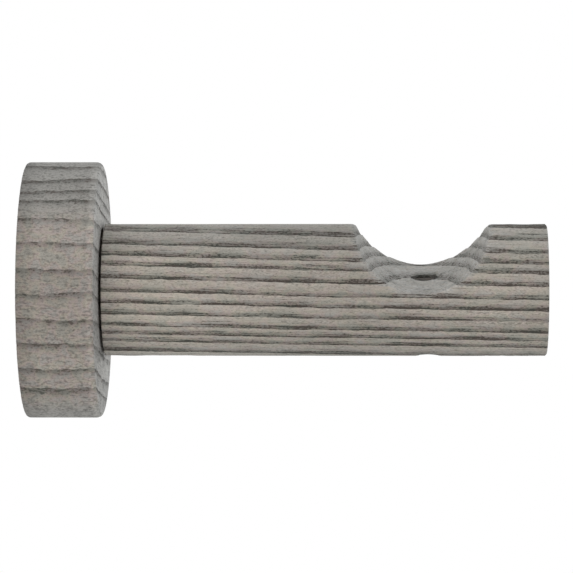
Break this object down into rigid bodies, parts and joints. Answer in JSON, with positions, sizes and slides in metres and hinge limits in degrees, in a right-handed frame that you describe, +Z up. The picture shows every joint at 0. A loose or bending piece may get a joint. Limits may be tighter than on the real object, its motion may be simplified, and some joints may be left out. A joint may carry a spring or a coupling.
{
  "type": "curtain pole bracket",
  "caption": "Wooden curtain pole bracket: a round wall rose and a horizontal dowel arm, with a round cup cut in the arm's top for the pole and a screw hole through the cup.",
  "frame": {"origin": "centre of the rose's wall face", "axes": "+X out of the wall along the arm, +Z up out of the cup, Y along the pole"},
  "size_m": [0.11, 0.0542, 0.0542],
  "materials": {
    "rose_wood": "grey-washed, wire-brushed open grain, matt",
    "arm_wood": "grey-washed, wire-brushed open grain, matt",
    "bolt_steel": "zinc-plated steel",
    "insert_steel": "yellow zinc-plated steel"
  },
  "bodies": {
    "root": {"wall_rose": "rose_wood", "arm": "arm_wood", "hanger_bolt": "bolt_steel", "insert_nut": "insert_steel"}
  },
  "joints": []
}
